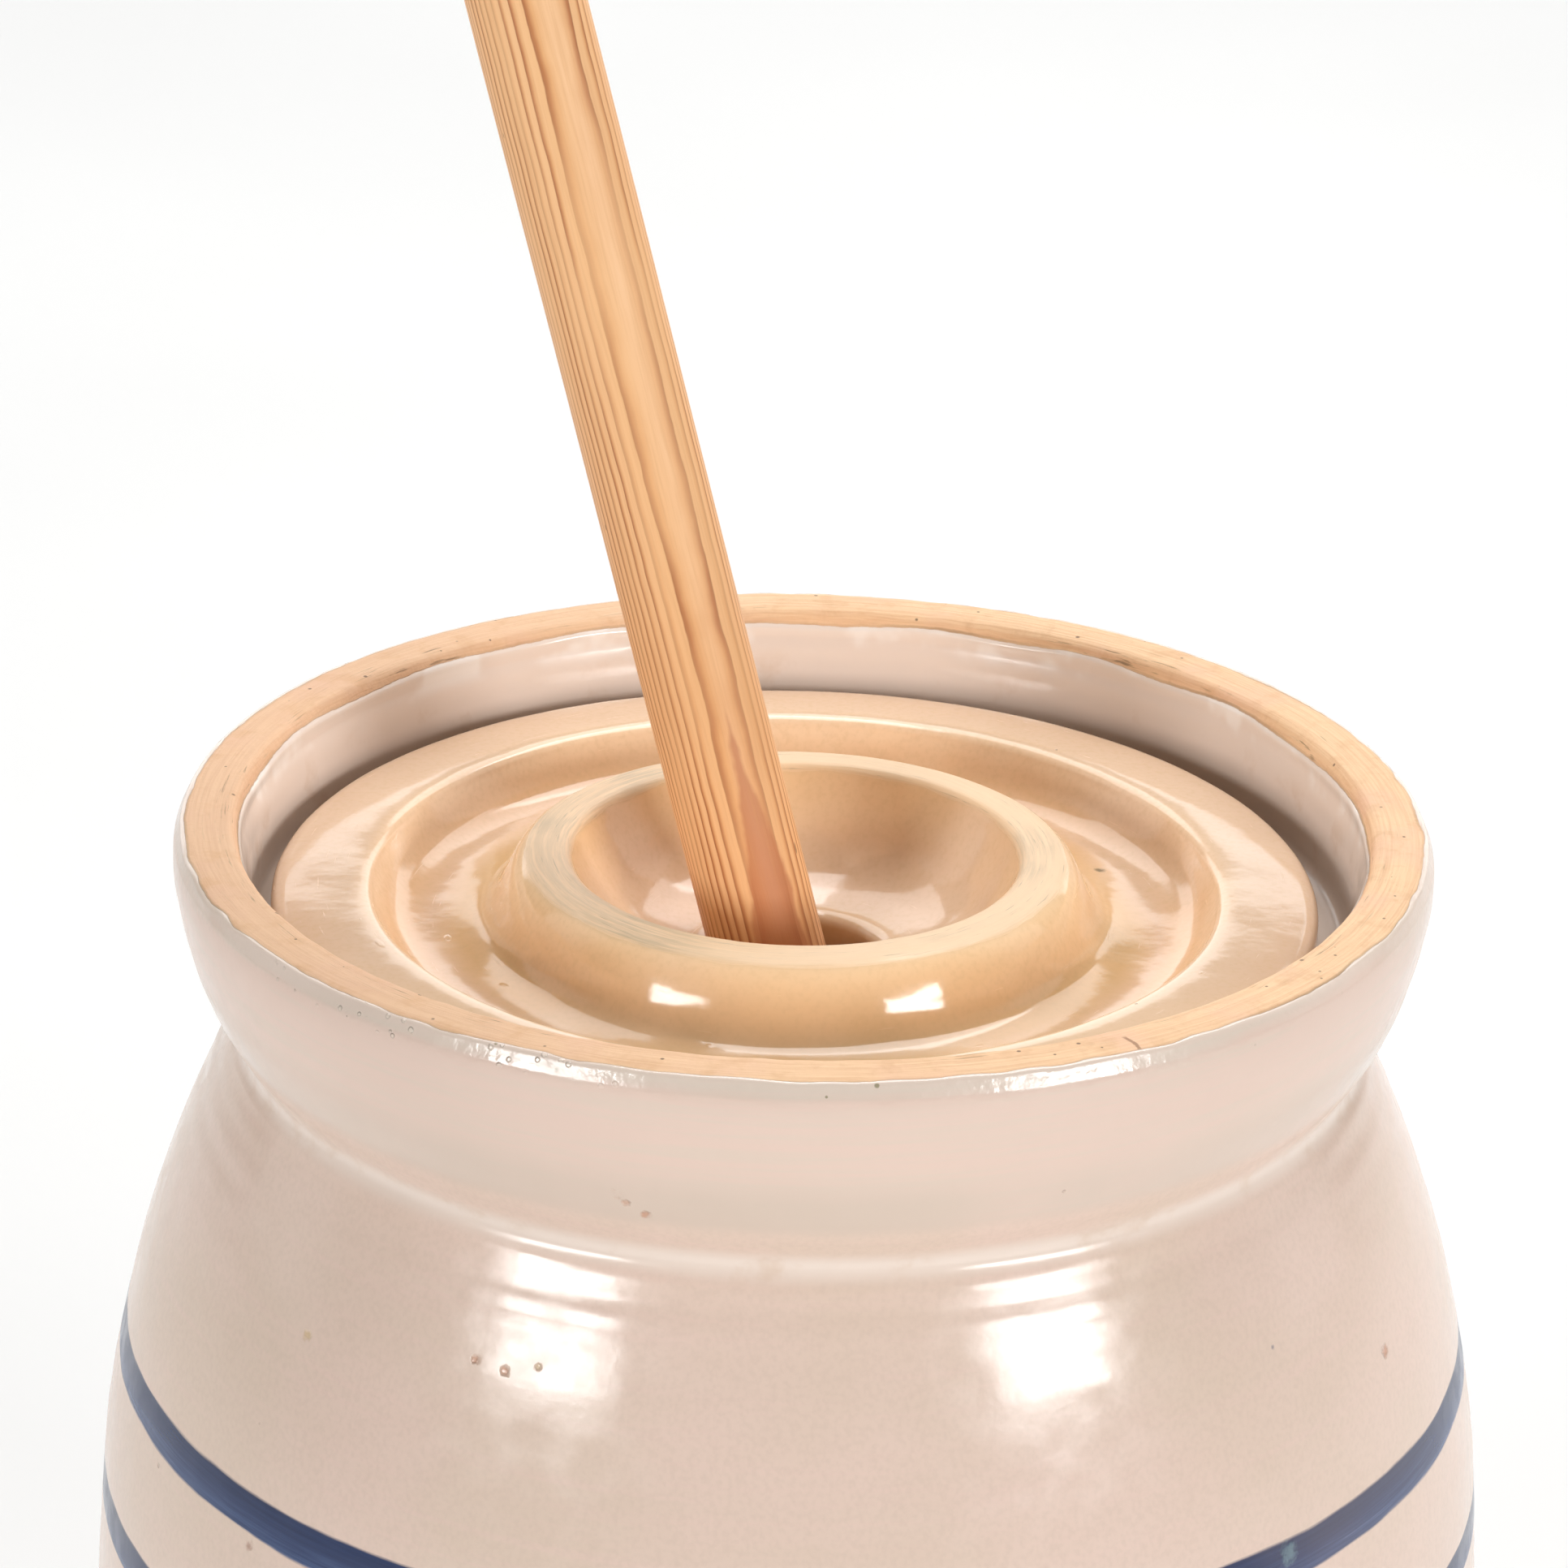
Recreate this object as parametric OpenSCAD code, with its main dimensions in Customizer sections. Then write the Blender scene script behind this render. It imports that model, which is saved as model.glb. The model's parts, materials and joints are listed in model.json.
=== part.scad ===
// Stoneware dasher churn: a glazed crock with a ledge inside its rim,
// a glazed lid with a guide hole, and a wooden dasher that leans in the hole.
// Millimetres, +Z up, origin at the centre of the crock's flat base.

/* [Crock] */
// Height of the crock from its base to the top of its rim
crock_h = 320; // [300:1:360]
// Outer radius of the unglazed flat top of the rim
rim_r = 117; // [116:0.5:118]
// Inner radius of the collar at the rim
rim_inner_r = 106; // [105:0.5:107]
// Largest outer radius of the rolled collar
collar_r = 119; // [118.5:0.5:121]
// Outer radius of the groove under the collar
neck_r = 107.3; // [105:0.1:109]
// Depth of that groove below the rim
neck_drop = 41; // [39:1:43]
// Largest outer radius of the body
belly_r = 136.8; // [134:0.1:140]
// Depth of the widest place below the rim
belly_drop = 185; // [175:1:195]
// Outer radius of the body just above the base
base_r = 122; // [119:0.5:125]
// Thickness of the body's wall
wall_t = 9.5; // [8:0.5:11]
// Thickness of the floor
floor_t = 11; // [9:0.5:13]
// Depth of the ledge that carries the lid, below the rim
ledge_drop = 24; // [23:0.5:26]
// Radius of the mouth inside the ledge
mouth_r = 90; // [86:0.5:91]

/* [Lid] */
// Outer radius of the lid
lid_r = 99; // [97:0.5:100]
// How far the lid lies off the crock's axis, towards -X
lid_shift = 1.5; // [0:0.1:1.5]
// Radius of the lip round the trough
lip_r = 80.5; // [79:0.5:82]
// Outer radius of the flat ring on top of the lid's collar
ring_outer_r = 51; // [50:0.5:52]
// Inner radius of that ring
ring_inner_r = 43; // [42:0.5:44]
// Height of the ring above the ledge
ring_h = 15.6; // [14:0.1:17]
// Radius of the guide hole
hole_r = 16.8; // [16.5:0.1:18]

/* [Dasher] */
// Diameter of the round handle
handle_d = 22.2; // [20:0.1:22.2]
// Length of the whole dasher, from the cross's underside to the handle's top
dasher_l = 700; // [640:10:720]
// Angle that the dasher leans from the vertical
lean = 16; // [10:1:16]
// Compass direction that its top leans to, from +X towards +Y
lean_az = 158; // [150:1:180]
// Length of each slat of the cross
slat_l = 100; // [80:1:100]
// Width of each slat
slat_w = 32; // [28:1:32]
// Thickness of each slat
slat_t = 14; // [12:1:16]
// Diameter of the handle's tenon through the cross
tenon_d = 15; // [12:0.5:16]
// Diameter of each peg through the lap
peg_d = 5; // [4:0.5:6]

/* [Hidden] */
$fn = 96;

stoneware = [0.88, 0.80, 0.74];
cane_glaze = [0.93, 0.76, 0.56];
pine = [0.86, 0.66, 0.44];
dark_pine = [0.72, 0.52, 0.33];

ledge_z = crock_h - ledge_drop;
// Level of the guide hole's upper edge, below the ledge
hole_drop = 7;
hole_z = ledge_z - hole_drop;
// Gap between the handle and the side of the hole that it leans on
rest_gap = 0.3;
// Gap between the cross's lowest corners and the floor
foot_gap = 0.4;
slat_corner_r = 6;
handle_end_r = 5;
// Width of the wedged kerf at the tenon's end and at its root
kerf_end_w = 3.4;
kerf_root_w = 1;

// The leaning handle's cut at the hole's level is an ellipse with this half-length
handle_reach = handle_d / 2 / cos(lean);
lean_dir = [cos(lean_az), sin(lean_az)];
// The dasher's axis where it passes the hole's upper edge
hole_point = [-lid_shift, 0] + (hole_r - handle_reach - rest_gap) * lean_dir;
// Reach of the cross towards the lean, with its arms at 45 degrees to it
cross_reach = (slat_l / 2 + slat_w / 2) / sqrt(2) - slat_corner_r * (sqrt(2) - 1);
cross_z = floor_t + foot_gap + cross_reach * sin(lean) + slat_t / 2 * cos(lean);
cross_point = hole_point - (hole_z - cross_z) * tan(lean) * lean_dir;

// Points along an arc, from angle a0 to a1
function arc(cx, cz, r, a0, a1, n = 4) =
    [for (i = [0:n]) let (a = a0 + (a1 - a0) * i / n) [cx + r * cos(a), cz + r * sin(a)]];

// A smooth curve through its control points, with n steps between two of them
function smooth(p, n = 2) = concat(
    [for (i = [0:len(p) - 2], k = [0:n - 1])
        let (a = p[max(i - 1, 0)], b = p[i], c = p[i + 1], d = p[min(i + 2, len(p) - 1)], t = k / n)
        0.5 * (2 * b + (c - a) * t + (2 * a - 5 * b + 4 * c - d) * t * t
               + (3 * b - a - 3 * c + d) * t * t * t)],
    [p[len(p) - 1]]);

// Outlines below give each point as [radius, height]; the crock's heights count from the rim down
function below_rim(p) = [for (q = p) [q[0], crock_h - q[1]]];

// The crock's outside, from the rim down to the base
crock_outside = concat(
    below_rim([[rim_inner_r + 2.5, 0], [rim_r - 1.5, 0], [rim_r, 0.5]]),
    below_rim(smooth([
        [collar_r - 0.9, 1.8], [collar_r, 5], [collar_r - 0.4, 11.7], [collar_r - 2.1, 20],
        [collar_r - 4.2, 27], [collar_r - 7.6, 34.5], [neck_r, neck_drop],
        [neck_r + 1.6, neck_drop + 4], [neck_r + 6.8, 56], [neck_r + 13, 71], [belly_r - 9.2, 94],
        [belly_r - 3.4, 123], [belly_r - 0.8, 155], [belly_r, belly_drop],
        [belly_r - 1.5, belly_drop + 35], [(belly_r + base_r) / 2 + 1.5, crock_h - 52],
        [base_r + 2.8, crock_h - 20], [base_r, crock_h - 6]])),
    below_rim([[base_r - 1.4, crock_h - 2], [base_r - 4, crock_h], [0, crock_h]]));

// The crock's inside, from the middle of the floor up to the rim
crock_inside = concat(
    below_rim([[0, crock_h - floor_t], [base_r - 28, crock_h - floor_t]]),
    below_rim(smooth([
        [base_r - 22, crock_h - floor_t - 0.6], [base_r - 13, crock_h - floor_t - 4],
        [base_r - 7, crock_h - floor_t - 11], [base_r - 3.4, crock_h - floor_t - 21],
        [(belly_r + base_r) / 2 + 1.5 - wall_t, crock_h - 52], [belly_r - 1.5 - wall_t, belly_drop + 35],
        [belly_r - wall_t, belly_drop], [belly_r - 0.8 - wall_t, 155], [belly_r - 3.6 - wall_t, 123],
        [belly_r - 10.6 - wall_t, 96], [mouth_r + 19, 76], [mouth_r + 7.5, 61], [mouth_r + 1, 49],
        [mouth_r, 42]])),
    arc(mouth_r + 2, ledge_z - 2, 2, 180, 90),
    arc(rim_inner_r - 5, ledge_z + 3, 3, -90, 0),
    below_rim(smooth([[rim_inner_r - 1.8, 19], [rim_inner_r - 1, 10], [rim_inner_r + 0.1, 4],
                      [rim_inner_r + 0.6, 1.6]])));

module crock() color(stoneware)
    rotate_extrude() polygon(concat(crock_outside, crock_inside));

// The lid's outline counts its heights from the ledge up, with the hole's upper edge at -hole_drop
function lid_outline() = concat(
    // underside, from the guide hole out to the flat ring that rests on the ledge
    [[hole_r, -12], [hole_r + 1.5, -13.5]],
    smooth([[hole_r + 7, -13], [ring_inner_r - 12, -10.8], [ring_inner_r - 3, -7.6], [ring_inner_r + 7, -6]]),
    [[lip_r - 1, -6], [lip_r + 3, -4.8], [lip_r + 6, -1], [lip_r + 8, 0]],
    // rounded outer edge and broad flat border
    arc(lid_r - 3, 3, 3, -90, 0),
    arc(lid_r - 2.8, 6.4, 2.8, 0, 90),
    smooth([[lip_r + 12, 9.7], [lip_r + 5, 9.8], [lip_r + 1.4, 9.4], [lip_r, 8.5], [lip_r - 0.6, 7.2]]),
    // steep inner side of the lip, trough, and flared foot of the collar
    smooth([[lip_r - 3.4, 3.4], [lip_r - 6.5, 1.5], [lip_r - 11, 0.8], [ring_outer_r + 13.5, 1],
            [ring_outer_r + 9, 2.6], [ring_outer_r + 5.8, 6], [ring_outer_r + 3.6, 10.2],
            [ring_outer_r + 2, ring_h - 2], [ring_outer_r, ring_h - 0.2]]),
    // flat ring and the bowl inside it
    [[ring_outer_r - 1, ring_h], [ring_inner_r + 1, ring_h - 0.1]],
    smooth([[ring_inner_r - 0.4, ring_h - 1], [ring_inner_r - 1.8, ring_h - 4], [ring_inner_r - 4, 7.5],
            [ring_inner_r - 8, 1.8], [ring_inner_r - 14, -2.4], [hole_r + 5, -4.6], [hole_r + 2, -5]]),
    [[hole_r, -hole_drop]]);

module lid() color(cane_glaze)
    translate([-lid_shift, 0, ledge_z]) rotate_extrude() polygon(lid_outline());

// Puts its children in the leaning dasher's frame: origin at the cross's centre, +Z along the handle
module on_dasher() translate([cross_point[0], cross_point[1], cross_z])
    rotate([0, lean, lean_az]) children();

module handle_blank() {
    top = dasher_l - slat_t / 2;
    rotate_extrude() polygon(concat(
        [[0, -slat_t / 2], [tenon_d / 2, -slat_t / 2], [tenon_d / 2, slat_t / 2], [handle_d / 2, slat_t / 2]],
        arc(handle_d / 2 - handle_end_r, top - handle_end_r, handle_end_r, 0, 90),
        [[0, top]]));
}

// The tapered kerf in the tenon's end, which the wedge fills; it runs a little past the end
module kerf() {
    end_z = -slat_t / 2 - 1;
    root_z = slat_t / 2 - 3;
    rotate([90, 0, 0]) linear_extrude(tenon_d + 2, center = true)
        polygon([[-kerf_end_w / 2, end_z], [kerf_end_w / 2, end_z],
                 [kerf_root_w / 2, root_z], [-kerf_root_w / 2, root_z]]);
}

module dasher_handle() color(pine) on_dasher() difference() {
    handle_blank();
    kerf();
}

module handle_wedge() color(dark_pine) on_dasher() intersection() {
    cylinder(h = slat_t, d = tenon_d, center = true);
    kerf();
}

module slat_blank() linear_extrude(slat_t, center = true) {
    square([slat_l - 2 * slat_corner_r, slat_w], center = true);
    square([slat_l, slat_w - 2 * slat_corner_r], center = true);
    for (sx = [-1, 1], sy = [-1, 1])
        translate([sx * (slat_l / 2 - slat_corner_r), sy * (slat_w / 2 - slat_corner_r)])
            circle(r = slat_corner_r, $fn = 32);
}

// Peg places, on the diagonals of the lap
function peg_place(i) = (slat_w / 2 - peg_d) * [i < 2 ? 1 : -1, i % 2 == 0 ? 1 : -1];

// A slat with its half of the lap cut from one side (side 1 for the top, -1 for the bottom)
module lapped_slat(turn, side) color(pine) on_dasher() difference() {
    rotate([0, 0, turn]) slat_blank();
    rotate([0, 0, turn]) translate([0, 0, side * slat_t / 2])
        cube([slat_w, slat_w + 2, slat_t], center = true);
    cylinder(h = slat_t + 2, d = tenon_d, center = true);
    rotate([0, 0, turn]) for (i = [0:3]) translate(peg_place(i))
        cylinder(h = slat_t + 2, d = peg_d, center = true, $fn = 48);
}

module cross_slat_lower() lapped_slat(45, 1);
module cross_slat_upper() lapped_slat(-45, -1);

module cross_peg(i) color(dark_pine) on_dasher() rotate([0, 0, 45]) translate(peg_place(i))
    cylinder(h = slat_t, d = peg_d, center = true, $fn = 48);

crock();
lid();
dasher_handle();
cross_slat_lower();
cross_slat_upper();
handle_wedge();
for (i = [0:3]) cross_peg(i);
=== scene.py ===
"""A stoneware dasher churn: a glazed crock, a cane-glazed lid and a pine dasher that leans in its hole.

Outlines, reliefs and the single faults are in millimetres; meshes, materials and lights are in metres.
Azimuths are degrees from the front (-Y), positive towards +X.
"""
import json
import math

import bmesh
import bpy
import numpy as np
from mathutils import Matrix, Vector


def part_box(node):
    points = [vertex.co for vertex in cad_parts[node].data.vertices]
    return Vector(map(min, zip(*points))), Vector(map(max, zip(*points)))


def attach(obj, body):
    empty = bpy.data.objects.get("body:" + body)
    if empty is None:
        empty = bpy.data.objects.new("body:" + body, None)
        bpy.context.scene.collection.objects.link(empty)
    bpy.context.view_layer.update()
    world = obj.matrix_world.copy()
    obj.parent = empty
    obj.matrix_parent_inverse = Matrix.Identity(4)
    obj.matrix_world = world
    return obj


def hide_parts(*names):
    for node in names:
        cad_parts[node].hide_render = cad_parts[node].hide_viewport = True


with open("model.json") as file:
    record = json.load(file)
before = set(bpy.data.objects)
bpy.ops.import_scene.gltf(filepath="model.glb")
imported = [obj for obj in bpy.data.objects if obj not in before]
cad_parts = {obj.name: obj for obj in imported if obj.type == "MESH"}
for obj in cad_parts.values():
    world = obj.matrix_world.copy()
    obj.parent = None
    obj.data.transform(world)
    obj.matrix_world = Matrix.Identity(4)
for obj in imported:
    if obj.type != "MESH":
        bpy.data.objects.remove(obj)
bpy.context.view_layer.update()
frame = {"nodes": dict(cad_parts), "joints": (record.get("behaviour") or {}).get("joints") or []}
scene = bpy.context.scene

MM = 0.001

# Places and sizes read from the frame, in millimetres
crock_low, crock_high = (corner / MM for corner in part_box("crock"))
lid_low, lid_high = (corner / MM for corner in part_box("lid"))
RIM_Z = crock_high.z
BELLY_R = crock_high.x
LID_R = (lid_high.x - lid_low.x) / 2
LID_X = (lid_high.x + lid_low.x) / 2

# Driving dimensions that the boxes don't give
RIM_R = 117
RIM_INNER_R = 106
COLLAR_R = 119
NECK_R = 107.3
NECK_DEPTH = 41
BELLY_DEPTH = 185
BASE_R = 122
WALL_T = 9.5
FLOOR_T = 11
LEDGE_DEPTH = 24
MOUTH_R = 90
LEDGE_Z = RIM_Z - LEDGE_DEPTH
LIP_R = 80.5
RING_OUTER_R = 51
RING_INNER_R = 43
RING_H = 15.6
HOLE_R = 16.8
HOLE_DROP = 7
BAND_DEPTHS = ((102.0, 109.4), (132.5, 139.9))

# The dasher: its own frame has its origin at the cross's centre and +Z along the handle
HANDLE_R = 11.1
HANDLE_TOP = 693
HANDLE_END_R = 5
TENON_R = 7.5
SLAT_T = 14
PEGS = [f"cross_peg_{i}" for i in range(1, 5)]
dasher_axis = Vector(frame["joints"][0]["axis"])
cross_centre = sum((low + high for low, high in map(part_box, PEGS)), Vector()) / (2 * len(PEGS))
DASHER = (Matrix.Translation(cross_centre)
          @ Matrix.Rotation(math.atan2(dasher_axis.y, dasher_axis.x), 4, "Z")
          @ Matrix.Rotation(math.acos(dasher_axis.z), 4, "Y"))


# ---------------------------------------------------------------- camera, floor and light

def direction(azimuth, elevation):
    """The unit vector towards an azimuth and elevation in degrees."""
    side, up = math.radians(azimuth), math.radians(elevation)
    return Vector((math.sin(side) * math.cos(up), -math.cos(side) * math.cos(up), math.sin(up)))


def make_camera():
    """A long lens in front of the rim, a little above it and rolled by about a degree."""
    back, height = 1.0570, 0.4482
    pitch, roll, yaw = 0.3969, 0.0226, -0.0038
    ahead = Vector((math.sin(yaw) * math.cos(pitch), math.cos(yaw) * math.cos(pitch), -math.sin(pitch)))
    right = Vector((math.cos(yaw), -math.sin(yaw), 0))
    up = right.cross(ahead)
    turned_right = math.cos(roll) * right + math.sin(roll) * up
    turned_up = math.cos(roll) * up - math.sin(roll) * right
    data = bpy.data.cameras.new("camera")
    data.sensor_width = 36
    data.lens = 139.75
    data.clip_end = 50
    camera = bpy.data.objects.new("camera", data)
    turn = Matrix((turned_right, turned_up, -ahead)).transposed().to_4x4()
    camera.matrix_world = Matrix.Translation((0, -back, RIM_Z * MM + height)) @ turn
    scene.collection.objects.link(camera)
    scene.camera = camera


def add_softbox(name, azimuth, elevation, distance, width, height, power, aim=(0, 0, 0.27)):
    """A rectangular lamp that faces `aim` from a direction."""
    data = bpy.data.lights.new(name, "AREA")
    data.shape = "RECTANGLE"
    data.size, data.size_y = width, height
    data.energy = power
    lamp = bpy.data.objects.new(name, data)
    away = direction(azimuth, elevation)
    facing = away.to_track_quat("Z", "Y").to_matrix().to_4x4()
    lamp.matrix_world = Matrix.Translation(Vector(aim) + distance * away) @ facing
    scene.collection.objects.link(lamp)


def make_lights():
    for name, azimuth, power in (("softbox_left", -43, 12), ("softbox_right", 46, 14.5)):
        add_softbox(name, azimuth, elevation=16, distance=1.7, width=0.62, height=0.34, power=power)
    add_softbox("back_light", 158, 66, distance=1.9, width=1.2, height=1.2, power=24)
    add_softbox("floor_wash", 0, 90, distance=2.4, width=4.0, height=2.2, power=66, aim=(0, 2.4, 0))


def make_world():
    """A dim studio that the glossy glazes mirror: a bright backdrop behind the object and pale walls
    at its sides, with dark gaps between them."""
    backdrop_glow, wall_glow, dim = 1.95, 0.75, 0.05
    world = bpy.data.worlds.new("studio")
    world.use_nodes = True
    scene.world = world
    tree = world.node_tree
    place = tree.nodes.new("ShaderNodeTexCoord").outputs["Generated"]
    split = tree.nodes.new("ShaderNodeSeparateXYZ")
    tree.links.new(place, split.inputs[0])

    def fade(value, start, end):
        made = tree.nodes.new("ShaderNodeMapRange")
        made.interpolation_type = "SMOOTHSTEP"
        tree.links.new(value, made.inputs[0])
        made.inputs[1].default_value, made.inputs[2].default_value = start, end
        return made.outputs[0]

    def calculate(operation, a, b):
        made = tree.nodes.new("ShaderNodeMath")
        made.operation = operation
        for socket, value in zip(made.inputs, (a, b)):
            if isinstance(value, float):
                socket.default_value = value
            else:
                tree.links.new(value, socket)
        return made.outputs[0]

    y, z = split.outputs["Y"], split.outputs["Z"]
    backdrop = calculate("MULTIPLY", fade(y, 0.76, 0.80), fade(z, 0.412, 0.402))
    walls = calculate("MULTIPLY", fade(y, 0.47, 0.44), fade(y, -0.1, 0.2))
    walls = calculate("MULTIPLY", walls, fade(z, 0.75, 0.6))
    backdrop = calculate("MULTIPLY", backdrop, backdrop_glow)
    walls = calculate("MULTIPLY", walls, wall_glow)
    glow = calculate("ADD", calculate("ADD", backdrop, walls), dim)
    tree.links.new(glow, tree.nodes["Background"].inputs["Strength"])
    tree.nodes["Background"].inputs["Color"].default_value = (1, 1, 1, 1)


# ---------------------------------------------------------------- outlines and meshes

def smooth(points, spacing):
    """Points about `spacing` apart on a curve through its control points."""
    points = np.array(points, float)
    last = len(points) - 1
    made = []
    for i in range(last):
        a, b, c, d = points[max(i - 1, 0)], points[i], points[i + 1], points[min(i + 2, last)]
        steps = max(1, math.ceil(np.linalg.norm(c - b) / spacing))
        for t in np.arange(steps) / steps:
            made.append(0.5 * (2 * b + (c - a) * t + (2 * a - 5 * b + 4 * c - d) * t ** 2
                               + (3 * b - a - 3 * c + d) * t ** 3))
    return made + [points[-1]]


def straight(start, end, spacing):
    """Points from start to end, about `spacing` apart."""
    start, end = np.array(start, float), np.array(end, float)
    steps = max(1, math.ceil(np.linalg.norm(end - start) / spacing))
    return [start + (end - start) * i / steps for i in range(steps + 1)]


def arc(cx, cz, radius, start, end, steps=5):
    """Points along an arc, with its angles in degrees."""
    angles = np.radians(np.linspace(start, end, steps + 1))
    return [np.array((cx + radius * math.cos(a), cz + radius * math.sin(a))) for a in angles]


def chain(*stretches):
    """One outline from several stretches, with no point twice."""
    points = [p for stretch in stretches for p in stretch]
    kept = [points[0]] + [p for before, p in zip(points, points[1:]) if np.linalg.norm(p - before) > 0.05]
    return np.array(kept)


def below_rim(points):
    """[radius, depth below the rim] as [radius, height]."""
    return [np.array((p[0], RIM_Z - p[1])) for p in points]


def ripple(angle, seed, orders, size):
    """A closed wavy line round the axis, about -size to size, from a range of orders."""
    draw = np.random.default_rng(seed)
    total = np.zeros_like(angle)
    for order in range(*orders):
        total += draw.normal() / math.sqrt(order) * np.cos(order * angle + draw.uniform(0, 2 * math.pi))
    return size * total / np.abs(total).max()


def lumps(points, seed, size, waves=14):
    """Soft unevenness about -1 to 1, with humps about `size` apart, at an array of points."""
    draw = np.random.default_rng(seed)
    total = np.zeros(points.shape[:-1])
    for _ in range(waves):
        way = draw.normal(size=3)
        way *= 2 * math.pi / size * draw.uniform(0.6, 1.4) / np.linalg.norm(way)
        total += np.sin(points @ way + draw.uniform(0, 2 * math.pi))
    return total / math.sqrt(waves)


def rise(value, start, end):
    """0 up to start, 1 from end, and smooth between them."""
    t = np.clip((value - start) / (end - start), 0, 1)
    return t * t * (3 - 2 * t)


def turned(name, outline, turns, relief=None, centre=(0, 0), closed=False):
    """A turned solid from an outline of [radius, height] points in millimetres, with its outside on the
    left of their order. The outline runs from pole to pole, or round a ring if closed.
    relief(angle, points, along) gives how far each point stands out, and marks for the material to read."""
    outline = np.array(outline)
    step = np.roll(outline, -1, 0) - np.roll(outline, 1, 0)
    if not closed:
        step[0], step[-1] = outline[1] - outline[0], outline[-1] - outline[-2]
    step /= np.linalg.norm(step, axis=1)[:, None]
    outward = np.stack([-step[:, 1], step[:, 0]], 1)
    along = np.concatenate([[0], np.cumsum(np.linalg.norm(np.diff(outline, axis=0), axis=1))])
    angle = np.arange(turns) * 2 * math.pi / turns
    shape = (len(outline), turns)
    angles = np.broadcast_to(angle, shape)
    around = np.stack([np.cos(angles), np.sin(angles)], 2)

    def placed(profile):
        flat = around * profile[..., :1] + np.array(centre)
        return np.concatenate([flat, profile[..., 1:]], 2)

    profile = np.broadcast_to(outline[:, None], shape + (2,)).copy()
    marks = {}
    if relief:
        height, marks = relief(angles, placed(profile), along[:, None])
        profile += height[..., None] * outward[:, None]
    co = placed(profile)
    rows = range(len(outline)) if closed else range(1, len(outline) - 1)
    first = {row: turns * n for n, row in enumerate(rows)}
    verts = co[list(rows)].reshape(-1, 3)
    faces = []
    pairs = list(zip(rows, list(rows)[1:] + ([0] if closed else [])))
    for low, high in pairs:
        a = np.arange(turns)
        b = (a + 1) % turns
        faces += np.stack([first[low] + a, first[high] + a, first[high] + b, first[low] + b], 1).tolist()
    if not closed:
        for pole, row, flip in ((0, rows[0], 1), (-1, rows[-1], -1)):
            tip = len(verts)
            verts = np.vstack([verts, co[pole].mean(0)])
            for a in range(turns):
                corners = [tip, first[row] + a, first[row] + (a + 1) % turns]
                faces.append(corners[::flip])
    mesh = bpy.data.meshes.new(name)
    mesh.from_pydata((verts * MM).tolist(), [], faces)
    for mark, values in marks.items():
        flat = np.broadcast_to(values, shape)[list(rows)].reshape(-1)
        flat = np.concatenate([flat, np.zeros(len(verts) - len(flat))])
        mesh.attributes.new(mark, "FLOAT", "POINT").data.foreach_set("value", flat.astype(np.float32))
    mesh.polygons.foreach_set("use_smooth", [True] * len(mesh.polygons))
    piece = bpy.data.objects.new(name, mesh)
    scene.collection.objects.link(piece)
    return piece


def settle(piece, place):
    """Notes where each point lies in the wood's own frame, for its grain, and moves the mesh into the
    row frame."""
    mesh = piece.data
    co = np.zeros(len(mesh.vertices) * 3, np.float32)
    mesh.vertices.foreach_get("co", co)
    mesh.attributes.new("grain_place", "FLOAT_VECTOR", "POINT").data.foreach_set("vector", co)
    mesh.transform(place)


def finish_piece(piece, material, body, slot, *nodes):
    """Gives a piece its material, hangs it on what it rides on, and hides the CAD nodes that it replaces."""
    piece.data.materials.clear()
    piece.data.materials.append(material)
    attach(piece, body)
    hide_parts(*nodes)


# ---------------------------------------------------------------- material tools

def srgb(red, green, blue):
    """A display colour, 0 to 255, as the linear colour that nodes take."""
    return tuple(((c / 255 + 0.055) / 1.055) ** 2.4 for c in (red, green, blue)) + (1,)


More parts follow.
